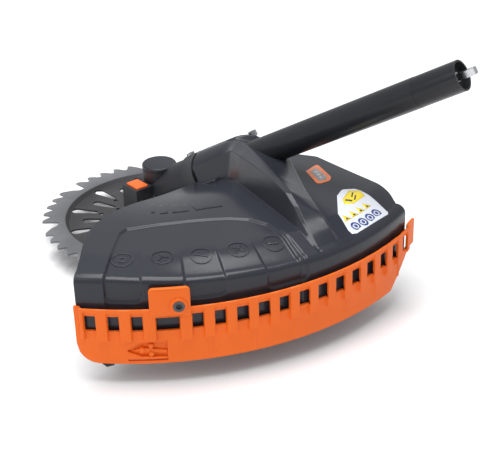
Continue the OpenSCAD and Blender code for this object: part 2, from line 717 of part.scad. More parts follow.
shaft_tube();
shaft_bushes();
drive_shaft();
gear_housing();
housing_cap();
cap_screws();
neck_locating_screw();
neck_clamp_screw();
grease_screw();
lower_bearing_outer();
lower_bearing_balls();
lower_bearing_inner();
upper_bearing_outer();
upper_bearing_balls();
upper_bearing_inner();
lower_retaining_ring();
spindle_seal();
pinion_bearing_outers();
pinion_bearing_balls();
pinion_bearing_inners();
pinion_retaining_ring();
output_spindle();
crown_gear();
bevel_pinion();
lock_plate();
saw_blade();
clamp_washer();
rider_cup();
collar_nut();
lock_button();
lock_pin();
lock_spring();
guard_shell();
guard_clamp();
guard_clamp_screws();
guard_side_bolt();
guard_skirt();
skirt_screw();
line_knife();
knife_screws();
guard_label();
guard_tag();
tube_end_cap();
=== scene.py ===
"""Looks of a brush cutter's cutting head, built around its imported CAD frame.

The scene is in metres. Sizes and heights of the pieces are written in mm and turned into metres by MM.
Heights are above the spindle's free end, and angles in degrees are about the spindle.
"""
import json
import math

import bmesh
import bpy
import numpy as np
from mathutils import Matrix, Vector
from mathutils.bvhtree import BVHTree


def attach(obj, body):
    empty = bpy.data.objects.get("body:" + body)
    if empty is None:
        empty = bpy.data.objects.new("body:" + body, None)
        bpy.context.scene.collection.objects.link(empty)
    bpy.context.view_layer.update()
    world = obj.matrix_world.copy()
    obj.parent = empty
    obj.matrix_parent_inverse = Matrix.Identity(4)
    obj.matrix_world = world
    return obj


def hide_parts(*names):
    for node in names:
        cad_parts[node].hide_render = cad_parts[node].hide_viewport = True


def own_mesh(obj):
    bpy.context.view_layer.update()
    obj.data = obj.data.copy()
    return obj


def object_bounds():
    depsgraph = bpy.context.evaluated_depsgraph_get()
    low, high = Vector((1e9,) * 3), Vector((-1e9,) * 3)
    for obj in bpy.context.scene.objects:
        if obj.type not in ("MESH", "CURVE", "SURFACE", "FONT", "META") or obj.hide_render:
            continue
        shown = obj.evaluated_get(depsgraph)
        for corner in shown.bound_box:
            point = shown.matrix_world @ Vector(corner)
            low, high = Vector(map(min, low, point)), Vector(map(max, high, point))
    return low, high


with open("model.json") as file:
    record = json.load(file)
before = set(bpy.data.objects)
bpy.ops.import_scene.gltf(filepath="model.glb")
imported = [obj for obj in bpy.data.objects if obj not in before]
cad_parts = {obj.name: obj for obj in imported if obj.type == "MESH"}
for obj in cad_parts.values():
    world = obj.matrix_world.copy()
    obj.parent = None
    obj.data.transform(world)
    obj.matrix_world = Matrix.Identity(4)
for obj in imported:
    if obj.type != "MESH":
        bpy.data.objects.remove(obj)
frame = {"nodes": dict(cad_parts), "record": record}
cad_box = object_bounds()

MM = 0.001
CROSS_Z = 43.4  # where the tube's axis crosses the spindle's axis
TUBE_RISE = math.radians(29.26)  # the tube's slope above the level


# ---------------------------------------------------------------- small helpers

def add_object(name, data):
    """A new object in the scene."""
    ob = bpy.data.objects.new(name, data)
    bpy.context.scene.collection.objects.link(ob)
    return ob


def object_from(name, bm, smooth=False):
    """A new object from a bmesh, which is freed."""
    me = bpy.data.meshes.new(name)
    bm.to_mesh(me)
    bm.free()
    if smooth:
        me.shade_smooth()
    return add_object(name, me)


def mesh_object(name, verts, faces, smooth=True):
    """A mesh object from points in mm and faces."""
    me = bpy.data.meshes.new(name)
    me.from_pydata([tuple(float(c) * MM for c in v) for v in verts], [], [tuple(f) for f in faces])
    me.validate()
    me.update()
    if smooth:
        me.shade_smooth()
    return add_object(name, me)


def grid_faces(rows, cols):
    """The faces between the points of a grid."""
    return [(i * cols + j, i * cols + j + 1, (i + 1) * cols + j + 1, (i + 1) * cols + j)
            for i in range(rows - 1) for j in range(cols - 1)]


def add_mod(ob, kind, **settings):
    """Adds a modifier with its settings."""
    m = ob.modifiers.new(kind.lower(), kind)
    for key, value in settings.items():
        setattr(m, key, value)


def apply_mods(ob):
    """Replaces the mesh by what its modifiers make of it."""
    dg = bpy.context.evaluated_depsgraph_get()
    dg.update()
    made = bpy.data.meshes.new_from_object(ob.evaluated_get(dg))
    ob.modifiers.clear()
    ob.data = made


def smoothstep(x, a, b):
    """Rises smoothly from 0 at a to 1 at b."""
    t = np.clip((np.asarray(x, float) - a) / (b - a), 0, 1)
    return t * t * (3 - 2 * t)


def along_tube(distance, side=0.0, up=0.0):
    """A point: distance along the tube's axis, side towards +Y, up to the tube's upper side."""
    c, s = math.cos(TUBE_RISE), math.sin(TUBE_RISE)
    return np.array([distance * c - up * s, side, CROSS_Z + distance * s + up * c])


# ---------------------------------------------------------------- materials

BLOTCH_RANGE = (0.3, 0.7)  # the noise's values between which the colour changes
WEAR_RANGE = (0.54, 0.64)  # how pointed an edge has to be to look rubbed


def material(name, base, rough=0.45, metallic=0.0, spread=0.12, grain=0.0, grain_scale=900.0,
             rough_spread=0.06, wear=0.0, wear_colour=(0.25, 0.25, 0.26), coat=0.0, specular=0.5,
             blotch_scale=18.0, brushed=None):
    """A procedural finish: varied colour and roughness, a fine bump, and rubbed edges where wear is set."""
    m = bpy.data.materials.new(name)
    m.use_nodes = True
    nt = m.node_tree
    nodes, link = nt.nodes, nt.links.new
    bsdf = nodes["Principled BSDF"]
    bsdf.inputs["Metallic"].default_value = metallic
    bsdf.inputs["Coat Weight"].default_value = coat
    bsdf.inputs["Coat Roughness"].default_value = 0.08
    bsdf.inputs["Specular IOR Level"].default_value = specular
    coord = nodes.new("ShaderNodeTexCoord")
    blotch = nodes.new("ShaderNodeTexNoise")
    blotch.inputs["Scale"].default_value = blotch_scale
    blotch.inputs["Detail"].default_value = 5
    link(coord.outputs["Object"], blotch.inputs["Vector"])
    ramp = nodes.new("ShaderNodeValToRGB")
    low = [max(c * (1 - spread), 0) for c in base]
    high = [min(c * (1 + spread), 1) for c in base]
    ramp.color_ramp.elements[0].position, ramp.color_ramp.elements[1].position = BLOTCH_RANGE
    ramp.color_ramp.elements[0].color = (*low, 1)
    ramp.color_ramp.elements[1].color = (*high, 1)
    link(blotch.outputs["Fac"], ramp.inputs["Fac"])
    colour = ramp.outputs["Color"]
    fine = nodes.new("ShaderNodeTexNoise")
    fine.inputs["Scale"].default_value = grain_scale
    fine.inputs["Detail"].default_value = 3
    if brushed:
        stretch = nodes.new("ShaderNodeMapping")
        stretch.inputs["Scale"].default_value = brushed
        link(coord.outputs["Object"], stretch.inputs["Vector"])
        link(stretch.outputs["Vector"], fine.inputs["Vector"])
    else:
        link(coord.outputs["Object"], fine.inputs["Vector"])
    if wear > 0:
        geo = nodes.new("ShaderNodeNewGeometry")
        edge = nodes.new("ShaderNodeValToRGB")
        edge.color_ramp.elements[0].position, edge.color_ramp.elements[1].position = WEAR_RANGE
        link(geo.outputs["Pointiness"], edge.inputs["Fac"])
        patch = nodes.new("ShaderNodeMath")
        patch.operation = "MULTIPLY"
        link(edge.outputs["Color"], patch.inputs[0])
        link(blotch.outputs["Fac"], patch.inputs[1])
        amount = nodes.new("ShaderNodeMath")
        amount.operation = "MULTIPLY"
        amount.inputs[1].default_value = wear * 2
        link(patch.outputs[0], amount.inputs[0])
        mix = nodes.new("ShaderNodeMix")
        mix.data_type = "RGBA"
        mix.inputs["B"].default_value = (*wear_colour, 1)
        link(amount.outputs[0], mix.inputs["Factor"])
        link(colour, mix.inputs["A"])
        colour = mix.outputs["Result"]
    link(colour, bsdf.inputs["Base Color"])
    spread_r = nodes.new("ShaderNodeMapRange")
    spread_r.inputs["To Min"].default_value = max(rough - rough_spread, 0.02)
    spread_r.inputs["To Max"].default_value = rough + rough_spread
    link(fine.outputs["Fac"], spread_r.inputs["Value"])
    link(spread_r.outputs["Result"], bsdf.inputs["Roughness"])
    if grain > 0:
        bump = nodes.new("ShaderNodeBump")
        bump.inputs["Strength"].default_value = grain
        bump.inputs["Distance"].default_value = 0.0002
        link(fine.outputs["Fac"], bump.inputs["Height"])
        link(bump.outputs["Normal"], bsdf.inputs["Normal"])
    return m


FINISHES = {
    "tube_black": dict(base=(0.011, 0.012, 0.015), rough=0.3, specular=0.35, grain=0.25,
                       grain_scale=2600, wear=0.05, spread=0.1),
    "casting_grey": dict(base=(0.020, 0.021, 0.025), rough=0.42, specular=0.35, grain=0.5,
                         grain_scale=1800, wear=0.1, spread=0.15),
    "cap_grey": dict(base=(0.024, 0.026, 0.034), rough=0.36, specular=0.3, grain=0.35,
                     grain_scale=2000, wear=0.15, spread=0.1),
    "guard_grey": dict(base=(0.026, 0.0285, 0.037), rough=0.2, specular=0.28, grain=0.06,
                       grain_scale=1500, rough_spread=0.03, spread=0.06, wear=0.05),
    "skirt_orange": dict(base=(0.82, 0.140, 0.008), rough=0.45, specular=0.25, grain=0.14,
                         grain_scale=1600, spread=0.05, wear=0.08, wear_colour=(1.0, 0.42, 0.2)),
    "button_orange": dict(base=(0.86, 0.13, 0.012), rough=0.40, grain=0.2, spread=0.05,
                          wear=0.1, wear_colour=(1.0, 0.4, 0.2)),
    "blade_steel": dict(base=(0.13, 0.132, 0.138), rough=0.46, metallic=0.35, grain=0.35, spread=0.2,
                        brushed=(0.3, 3.0, 1.0), wear=0.35, wear_colour=(0.30, 0.30, 0.31)),
    "bright_steel": dict(base=(0.55, 0.56, 0.58), rough=0.25, metallic=1.0, grain=0.15,
                         brushed=(1, 1, 6), spread=0.08),
    "zinc_steel": dict(base=(0.42, 0.43, 0.45), rough=0.38, metallic=1.0, grain=0.2, spread=0.12),
    "bearing_steel": dict(base=(0.62, 0.63, 0.65), rough=0.15, metallic=1.0, spread=0.05),
    "gear_steel": dict(base=(0.33, 0.34, 0.36), rough=0.3, metallic=1.0, grain=0.2, spread=0.1),
    "spring_steel": dict(base=(0.45, 0.45, 0.47), rough=0.3, metallic=1.0, spread=0.1),
    "seal_rubber": dict(base=(0.014, 0.014, 0.015), rough=0.75, grain=0.5, spread=0.2),
    "bush_plastic": dict(base=(0.03, 0.03, 0.033), rough=0.6, grain=0.4, spread=0.15),
    "knife_steel": dict(base=(0.03, 0.031, 0.034), rough=0.45, metallic=0.7, grain=0.3,
                        wear=0.4, spread=0.2),
    "label_white": dict(base=(0.62, 0.65, 0.72), rough=0.3, spread=0.04, coat=0.3),
    "label_yellow": dict(base=(0.80, 0.62, 0.02), rough=0.3, spread=0.04, coat=0.3),
    "label_blue": dict(base=(0.02, 0.045, 0.20), rough=0.3, spread=0.05, coat=0.3),
    "label_dark": dict(base=(0.03, 0.03, 0.03), rough=0.35, spread=0.05, coat=0.3),
    "tag_orange": dict(base=(0.75, 0.18, 0.05), rough=0.3, spread=0.05, coat=0.3),
    "tag_grey": dict(base=(0.30, 0.30, 0.31), rough=0.35, spread=0.3, coat=0.2, blotch_scale=900),
}
MATERIALS = {name: material(name, **finish) for name, finish in FINISHES.items()}


def two_tone(m, radius, inner, outer):
    """Gives a material one colour inside a radius about the spindle and another outside it."""
    nt = m.node_tree
    nodes, link = nt.nodes, nt.links.new
    bsdf = nodes["Principled BSDF"]
    before = bsdf.inputs["Base Color"].links[0].from_socket
    coord = nodes.new("ShaderNodeTexCoord")
    flat = nodes.new("ShaderNodeVectorMath")
    flat.operation = "MULTIPLY"
    flat.inputs[1].default_value = (1, 1, 0)
    link(coord.outputs["Object"], flat.inputs[0])
    length = nodes.new("ShaderNodeVectorMath")
    length.operation = "LENGTH"
    link(flat.outputs["Vector"], length.inputs[0])
    ramp = nodes.new("ShaderNodeMapRange")
    ramp.inputs["From Min"].default_value = (radius - TONE_BLEND) * MM
    ramp.inputs["From Max"].default_value = (radius + TONE_BLEND) * MM
    link(length.outputs["Value"], ramp.inputs["Value"])
    tint = nodes.new("ShaderNodeMix")
    tint.data_type = "RGBA"
    tint.inputs["A"].default_value = (*inner, 1)
    tint.inputs["B"].default_value = (*outer, 1)
    link(ramp.outputs["Result"], tint.inputs["Factor"])
    both = nodes.new("ShaderNodeMix")
    both.data_type = "RGBA"
    both.blend_type = "MULTIPLY"
    both.inputs["Factor"].default_value = 1.0
    link(before, both.inputs["A"])
    link(tint.outputs["Result"], both.inputs["B"])
    link(both.outputs["Result"], bsdf.inputs["Base Color"])


BLADE_RIM_R = 91.0  # the dark dish ends here, and the pale ground rim begins
TONE_BLEND = 0.4  # half the width over which the two tones meet
DISH_TINT = (0.32, 0.31, 0.32)
RIM_TINT = (1.0, 1.0, 1.02)
two_tone(MATERIALS["blade_steel"], BLADE_RIM_R, DISH_TINT, RIM_TINT)


def finish_piece(ob, body, slot, *nodes):
    """Gives a new piece its finish, the body that it rides on and the CAD nodes that it stands for."""
    ob.data.materials.clear()
    ob.data.materials.append(MATERIALS[slot])
    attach(ob, body)
    if nodes:
        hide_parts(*nodes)
    return ob


SLOT_OF = {s["node"]: s["material_slot"] for s in frame["record"]["subparts"]}
BODY_OF = {n: b for b, ns in frame["record"]["behaviour"]["bodies"].items() for n in ns}
MERGE = 2e-6  # points closer than this are one, in metres
FLAT = math.radians(0.5)  # faces that meet at less than this are one


def rounded_copy(node, width):
    """A copy of a CAD node with small rounded edges, which stands for the node."""
    src = frame["nodes"][node]
    me = src.data.copy()
    bm = bmesh.new()
    bm.from_mesh(me)
    bmesh.ops.remove_doubles(bm, verts=bm.verts, dist=MERGE)
    bmesh.ops.dissolve_limit(bm, angle_limit=FLAT, verts=bm.verts, edges=bm.edges)
    bm.to_mesh(me)
    bm.free()
    ob = add_object(node + "_rounded", me)
    me.shade_smooth()
    add_mod(ob, "BEVEL", width=width * MM, segments=3, limit_method="ANGLE",
            angle_limit=math.radians(30), use_clamp_overlap=True, harden_normals=True)
    apply_mods(ob)
    return finish_piece(ob, BODY_OF[node], SLOT_OF[node], node)


# every CAD node gets its procedural finish
for node, ob in frame["nodes"].items():
    if ob.data.materials:
        for i in range(len(ob.data.materials)):
            ob.data.materials[i] = MATERIALS[SLOT_OF[node]]
    else:
        ob.data.materials.append(MATERIALS[SLOT_OF[node]])


# ---------------------------------------------------------------- camera, floor and light

CAMERA_AT = Vector((0.5803, -0.8362, 0.5321))  # in metres, like everything in this section but the floor
# the picture's right, its down and the line of sight, each at right angles to the others
RIGHT = Vector((0.8712273, 0.4902607, -0.0246462))
DOWN = Vector((0.2071156, -0.4126513, -0.8870299))
FORWARD = Vector((-0.4450462, 0.7677001, -0.4610537))
cam_data = bpy.data.cameras.new("camera")
cam_data.lens = 86.4
cam_data.sensor_width = 36
cam = add_object("camera", cam_data)
cam.matrix_world = Matrix.Translation(CAMERA_AT) @ Matrix((RIGHT, -DOWN, -FORWARD)).transposed().to_4x4()
bpy.context.scene.camera = cam

WORLD_STRENGTH = 0.55
world = bpy.data.worlds.new("world")
bpy.context.scene.world = world
world.use_nodes = True
world.node_tree.nodes["Background"].inputs["Color"].default_value = (1, 1, 1, 1)
world.node_tree.nodes["Background"].inputs["Strength"].default_value = WORLD_STRENGTH
bpy.context.scene.view_settings.view_transform = "Standard"


def area_light(name, at, size, watts):
    """A rectangular light that looks at the middle of the object; size is its two sides."""
    data = bpy.data.lights.new(name, "AREA")
    data.shape = "RECTANGLE"
    data.size, data.size_y = size
    data.energy = watts
    ob = add_object(name, data)
    ob.location = at
    ob.rotation_mode = "QUATERNION"
    ob.rotation_quaternion = (Vector(MIDDLE) - Vector(at)).to_track_quat("-Z", "Y")


MIDDLE = (0.12, -0.08, 0.08)
area_light("overhead", at=(0.05, -0.1, 1.6), size=(1.5, 1.1), watts=32)
area_light("front", at=(-0.5, -1.3, 1.1), size=(0.9, 0.9), watts=4)

FLOOR_HALF = 4000
floor = mesh_object("floor", [(-FLOOR_HALF, -FLOOR_HALF, 0), (FLOOR_HALF, -FLOOR_HALF, 0),
                              (FLOOR_HALF, FLOOR_HALF, 0), (-FLOOR_HALF, FLOOR_HALF, 0)],
                    [(0, 1, 2, 3)], smooth=False)
floor.location.z = cad_box[0].z
floor.data.materials.append(material("floor_white", (0.86, 0.86, 0.87), rough=0.7, spread=0.004))

# ---------------------------------------------------------------- guard

GUARD_FROM, GUARD_TO = -71.5, -1.0
GUARD_R = 247.0  # outside of the wall
BEND_R = 239.0  # where the top face begins, inside the rim's bend
BEND_DROP = 0.85  # the bend's height against its width
WALL_LOW = 34.0
WALL_T = 3.0
RIDGE_LEFT, RIDGE_RIGHT = -26.2, -20.4  # where the ridge's two feet meet the rim

# the rim's bend sinks towards the tube's side
RIM_ANGLES = [-71.5, -65, -58, -52, -48, -35, -19, 0]
RIM_HEIGHTS = [91, 92, 90, 87.5, 86.5, 84, 82.5, 83]

TOP_Z = 94.5
SIDE_SINK = 2.5  # how much lower the top face is on the tube's side
FRONT_SINK = 18  # how much lower it is at the front edge beside the tunnel
BACK_SINK = 4
TUNNEL_Y = 60  # the front's sinking ends behind this


def top_height(x, y):
    """Height of the guard's plain top face."""
    x, y = np.asarray(x, float), np.asarray(y, float)
    r, angle = np.hypot(x, y), np.degrees(np.arctan2(y, x))
    rim = np.interp(angle, RIM_ANGLES, RIM_HEIGHTS)
    top = TOP_Z - SIDE_SINK * smoothstep(angle, -45, -20)
    z = rim + (top - rim) * smoothstep(GUARD_R - r, -3, 34)
    front = smoothstep(-y, 20, 150)
    inward = smoothstep(x, 44, 118)
    z = z - FRONT_SINK * (1 - inward) * (1 - front) * (y < TUNNEL_Y)
    return z - BACK_SINK * smoothstep(y, -10, 60)


# the pressed field's outline in plan, and the angles of the lines between its panels
RECESS = [(84, -250), (80, -199), (72.5, -174), (73.5, -157), (92, -137.5), (111, -121.5), (136, -103),
          (150, -96.5), (168, -97), (190, -110), (216, -127), (236, -140), (300, -200), (200, -300)]
PANEL_LINES = [-66.2, -59.8, -52.1, -44.8, -37.0, -29.0]
DEEP_PANELS = (0, 2, 4)  # pressed deeper, down to an edge with round corners on the wall
FIELD_DEPTH = 1.6
PANEL_DEPTH = 1.3  # the deep panels are pressed this much further
PANEL_LOW = 70.5  # the deep panels' lower edge on the wall
LAST_PANEL_LOW = 66.5
PANEL_CORNER = 5.0
FIELD_EDGE, PANEL_EDGE = 0.9, 0.8  # half the width of a pressed edge
FIELD_MM_PER_DEG, PANEL_MM_PER_DEG = 4.2, 4.3  # length along the rim for one degree
FAR = 1e9
TINY = 1e-9


def inside_distance(px, py, outline):
    """Signed distance to a closed outline, above 0 inside it."""
    best = np.full(px.shape, FAR)
    inside = np.zeros(px.shape, bool)
    n = len(outline)
    for k in range(n):
        (ax, ay), (bx, by) = outline[k], outline[(k + 1) % n]
        ex, ey = bx - ax, by - ay
        t = np.clip(((px - ax) * ex + (py - ay) * ey) / (ex * ex + ey * ey), 0, 1)
        best = np.minimum(best, np.hypot(px - ax - t * ex, py - ay - t * ey))
        inside ^= ((ay > py) != (by > py)) & (px < ex * (py - ay) / (ey + TINY) + ax)
    return np.where(inside, best, -best)


def relief(x, y, z):
    """Depth in mm of the pressed panels, measured into the guard's surface."""
    angle, r = np.degrees(np.arctan2(y, x)), np.hypot(x, y)
    field = FIELD_DEPTH * smoothstep(inside_distance(x, y, RECESS), -FIELD_EDGE, FIELD_EDGE)
    side = np.minimum(angle - PANEL_LINES[0], PANEL_LINES[-1] - angle) * FIELD_MM_PER_DEG
    field = field * smoothstep(side, -PANEL_EDGE, PANEL_EDGE)
    for k in DEEP_PANELS:
        first, last = PANEL_LINES[k], PANEL_LINES[k + 1]
        across = np.minimum(angle - first, last - angle) * PANEL_MM_PER_DEG
        low = LAST_PANEL_LOW if k == DEEP_PANELS[-1] else PANEL_LOW
        on_wall = np.where(r > BEND_R, z - low, 10 * PANEL_CORNER)
        in_corner = (across < PANEL_CORNER) & (on_wall < PANEL_CORNER)
        rounded_off = PANEL_CORNER - np.hypot(PANEL_CORNER - across, PANEL_CORNER - on_wall)
        distance = np.where(in_corner, rounded_off, np.minimum(across, on_wall))
        field = field + PANEL_DEPTH * smoothstep(distance, -PANEL_EDGE, PANEL_EDGE) * smoothstep(r, 205, 228)
    return field


def polyline_at(points, knots, v):
    """Points along a line that passes its given points at the given knots."""
    pts = np.array(points, float)
    return np.stack([np.interp(v, knots, pts[:, c]) for c in range(pts.shape[1])], -1)


def eased(points, knots, v, reach):
    """polyline_at with each corner rounded over a short stretch."""
    shifts = (-1, -0.5, 0, 0.5, 1)
    return sum(polyline_at(points, knots, np.clip(v + k * reach, 0, 1)) for k in shifts) / len(shifts)


def rim_point(angle):
    """A point in plan where the top face begins."""
    a = math.radians(angle)
    return (BEND_R * math.cos(a), BEND_R * math.sin(a))


# The guard's top is one grid. Its rows run from the rim (v = 0) to the tunnel's front end (v = 1), its
# columns from the left edge over the ridge to the back edge. These are the lines that it follows.
ROWS = 190
LEFT_COLS, RIGHT_COLS = 260, 120
RIDGE_KNOTS = [0, .06, .12, .18, .26, .40, .56, .70, .80, 1.0]
FOOT_LEFT = [rim_point(RIDGE_LEFT), (202, -98), (193, -92.4), (184, -86.8), (173, -79.8), (152.5, -67),
             (129, -52), (108, -39), (92, -29), (57, -24)]
CREST_LEFT = [(*rim_point(-25.6), 84.5), (204, -96.5, 91.5), (193.5, -89.3, 97.5), (184, -83, 106),
              (172.5, -76, 113), (152, -63, 115.7), (128, -48, 116), (107.5, -35.5, 115.5),
              (92.5, -25, 113), (48, -19, 85)]
SHELF_EDGE = [(*rim_point(-25.2), 84.7), (206, -95.5, 91.7), (197, -89, 97.7), (188, -82.5, 106.2),
              (176, -73, 112.6), (156, -56, 114.2), (127, -30, 113.6), (106, -14, 113.5),
              (86, -2, 113), (43, 0, 92.5)]
CREST_RIGHT = [(*rim_point(-21.3), 84.5), (217, -82.5, 92.5), (210, -79, 97), (203, -73, 100.5),
               (191, -62, 102), (172, -41, 102), (151, -16, 102), (134, 5, 102), (114, 19, 103),
               (48, 19, 85)]
FOOT_RIGHT = [rim_point(RIDGE_RIGHT), (220.5, -79.5), (213, -75.5), (206.5, -69), (195, -58), (176, -37),
              (155.5, -12), (139, 9), (118, 25), (57, 24)]
LEFT_EDGE = [rim_point(GUARD_FROM), (67.5, -210), (56, -190), (48.5, -172), (46, -158), (46, -146)]
LEFT_KNOTS = [0, .30, .52, .72, .86, 1.0]
FRONT_EDGE = [(46, -146), (46, -136), (47.5, -121), (52, -84), (57, -24)]
FRONT_KNOTS = [0, .09, .22, .5, 1.0]
BACK_EDGE = [rim_point(GUARD_TO), (228, 7), (214, 14), (180, 28.5), (140, 46), (120, 42), (98, 34)]
BACK_KNOTS = [0, .07, .13, .28, .66, .82, 1.0]
BACK_FRONT_EDGE = [(57, 24), (98, 34)]

TUNNEL_R = 21.5  # the tunnel's rounded top, about the tube's axis
TUNNEL_TOP = 114
TUNNEL_V = (.80, .86)  # where the ridge turns into the tunnel
TUNNEL_LOWEST = 6  # it stays within this of the ridge's own surface
SIDE_STEPS = [.02, .05, .5, .95, .98]  # columns on the ridge's steep sides
SHELF_COLS, SLANT_COLS = 16, 30
BEND_ROWS, WALL_ROWS = 8, 39


def coons(left, right, low, high, cols, v):
    """A patch between four plan lines: left and right run with v, low and high across."""
    u = np.linspace(0, 1, cols)[None, :, None]
    vv = v[:, None, None]
    corners = ((1 - u) * (1 - vv) * low[0] + u * (1 - vv) * low[-1]
               + (1 - u) * vv * high[0] + u * vv * high[-1])
    return (1 - u) * left[:, None] + u * right[:, None] + (1 - vv) * low[None] + vv * high[None] - corners


def lifted(plan):
    """Plan points raised to the guard's plain top face."""
    z = top_height(plan[..., 0], plan[..., 1])
    return np.concatenate([plan, z[..., None]], -1)


def strip(a, b, steps):
    """Columns between two lines."""
    return np.stack([a + (b - a) * t for t in steps], 1)


def top_between(a, b, cols, v):
    """Columns between two lines on the ridge's top, which end in the tunnel's rounded top."""
    out = strip(a, b, np.linspace(0, 1, cols + 2)[1:-1])
    tunnel = smoothstep(v, *TUNNEL_V)[:, None]
    x, y = out[..., 0], out[..., 1]
    arch = np.sqrt(np.maximum(TUNNEL_R ** 2 - y ** 2, 0)) / math.cos(TUBE_RISE)
    crown = np.minimum(CROSS_Z + x * math.tan(TUBE_RISE) + arch, TUNNEL_TOP)
    out[..., 2] = out[..., 2] * (1 - tunnel) + np.maximum(crown, out[..., 2] - TUNNEL_LOWEST) * tunnel
    return out


def guard_top():
    """The grid of the guard's top: left plate, ridge and right plate."""
    v = np.linspace(0, 1, ROWS)
    foot_left = eased(FOOT_LEFT, RIDGE_KNOTS, v, 0.006)
    foot_right = eased(FOOT_RIGHT, RIDGE_KNOTS, v, 0.006)
    crest_left, shelf_edge, crest_right = (eased(line, RIDGE_KNOTS, v, 0.012)
                                           for line in (CREST_LEFT, SHELF_EDGE, CREST_RIGHT))
    rim_left = np.array([rim_point(a) for a in np.linspace(GUARD_FROM, RIDGE_LEFT, LEFT_COLS)])
    front_left = eased(FRONT_EDGE, FRONT_KNOTS, np.linspace(0, 1, LEFT_COLS), 0.02)
    left_edge = eased(LEFT_EDGE, LEFT_KNOTS, v, 0.03)
    left_plate = lifted(coons(left_edge, foot_left, rim_left, front_left, LEFT_COLS, v))

    rim_right = np.array([rim_point(a) for a in np.linspace(RIDGE_RIGHT, GUARD_TO, RIGHT_COLS)])
    front_right = eased(BACK_FRONT_EDGE, [0, 1], np.linspace(0, 1, RIGHT_COLS), 0.01)
    back_edge = eased(BACK_EDGE, BACK_KNOTS, v, 0.02)
    right_plate = lifted(coons(foot_right, back_edge, rim_right, front_right, RIGHT_COLS, v))

    left_side = strip(left_plate[:, -1], crest_left, SIDE_STEPS)
    right_side = strip(crest_right, right_plate[:, 0], SIDE_STEPS)
    shelf = top_between(crest_left, shelf_edge, SHELF_COLS, v)
    slant = top_between(shelf_edge, crest_right, SLANT_COLS, v)
    return np.concatenate([left_plate, left_side, crest_left[:, None], shelf, shelf_edge[:, None], slant,
                           crest_right[:, None], right_side, right_plate], 1)


def rim_rows(edge):
    """Rows for the bend and the wall below the top's outer edge, from the bend down."""
    angle = np.arctan2(edge[:, 1], edge[:, 0])
    bend = GUARD_R - BEND_R
    rows = []
    for t in np.linspace(0, 1, BEND_ROWS + 1)[1:]:
        turn = t * math.pi / 2
        r = BEND_R + bend * math.sin(turn)
        z = edge[:, 2] - bend * (1 - math.cos(turn)) * BEND_DROP
        rows.append(np.stack([r * np.cos(angle), r * np.sin(angle), z], 1))
    bend_low = rows[-1][:, 2]
    for t in np.linspace(0, 1, WALL_ROWS + 1)[1:]:
        wall_z = bend_low + (WALL_LOW - bend_low) * t
        rows.append(np.stack([GUARD_R * np.cos(angle), GUARD_R * np.sin(angle), wall_z], 1))
    return rows


def build_guard():
    """The guard's moulding: the grid, its pressed panels and its thickness."""
    grid = guard_top()
    grid = np.concatenate([np.array(rim_rows(grid[0])[::-1]), grid], 0)
    normal = np.cross(np.gradient(grid, axis=1), np.gradient(grid, axis=0))
    normal /= np.linalg.norm(normal, axis=-1, keepdims=True) + TINY
    middle_row, middle_col = 120, 100  # a point in the left plate, where the normal has to point up
    if normal[middle_row, middle_col, 2] < 0:
        normal = -normal
    depth = relief(grid[..., 0], grid[..., 1], grid[..., 2])
    depth[:, LEFT_COLS - 2:] = 0  # only the left plate is pressed
    grid = grid - normal * depth[..., None]
    rows, cols = grid.shape[:2]
    ob = mesh_object("guard_body", grid.reshape(-1, 3), grid_faces(rows, cols))
    bm = bmesh.new()
    bm.from_mesh(ob.data)
    bmesh.ops.recalc_face_normals(bm, faces=bm.faces)
    top = max(bm.faces, key=lambda f: f.calc_center_median().z)
    if top.normal.z < 0:
        bmesh.ops.reverse_faces(bm, faces=bm.faces)
    bm.to_mesh(ob.data)
    bm.free()
    add_mod(ob, "SOLIDIFY", thickness=WALL_T * MM, offset=-1.0)
    apply_mods(ob)
    return finish_piece(ob, "head", "guard_grey", "guard_shell")


guard = build_guard()

# ---------------------------------------------------------------- label, tag and raised marks on the guard

guard_tree = BVHTree.FromPolygons([v.co[:] for v in guard.data.vertices],
                                  [p.vertices[:] for p in guard.data.polygons])
ABOVE = 200  # every ray down onto the guard starts this high
SHEET, PATCH, PRINT = 0.25, 0.36, 0.44  # heights above the guard: the sheet, patches on it, marks on those
SINK = 0.5  # how far a plate reaches into the guard
CUT = 4.0  # a plate is cut into squares of this side, so that it follows the guard


def drape(name, outlines, height, mat, bevel=0.0):
    """Thin plates in plan outlines, laid on the guard's top and standing height above it."""
    bm = bmesh.new()
    for outline in outlines:
        bm.faces.new([bm.verts.new((x * MM, y * MM, 0)) for x, y in outline])
    bmesh.ops.remove_doubles(bm, verts=bm.verts, dist=MERGE)
    for axis, normal in ((0, (1, 0, 0)), (1, (0, 1, 0))):
        places = [v.co[axis] for v in bm.verts]
        for t in np.arange(min(places) + CUT * MM, max(places), CUT * MM):
            everything = bm.verts[:] + bm.edges[:] + bm.faces[:]
            bmesh.ops.bisect_plane(bm, geom=everything, plane_co=(t, t, 0), plane_no=normal)
    for v in bm.verts:
        place, normal, _, _ = guard_tree.ray_cast(Vector((v.co.x, v.co.y, ABOVE * MM)), Vector((0, 0, -1)))
        v.co = place + normal * math.copysign(height * MM, normal.z)
    bm.normal_update()
    for f in bm.faces:
        if f.normal.z < 0:
            f.normal_flip()
    ob = object_from(name, bm)
    add_mod(ob, "SOLIDIFY", thickness=(height + SINK) * MM, offset=-1.0)
    if bevel:
        add_mod(ob, "BEVEL", width=bevel * MM, segments=2, limit_method="ANGLE",
                angle_limit=math.radians(50))
    apply_mods(ob)
    ob.data.shade_smooth()
    ob.data.materials.clear()
    ob.data.materials.append(MATERIALS[mat])
    return ob


def disc(x, y, radius, sides=28):
    """A circle's outline."""
    return [(x + radius * math.cos(t), y + radius * math.sin(t))
            for t in np.linspace(0, 2 * math.pi, sides, endpoint=False)]


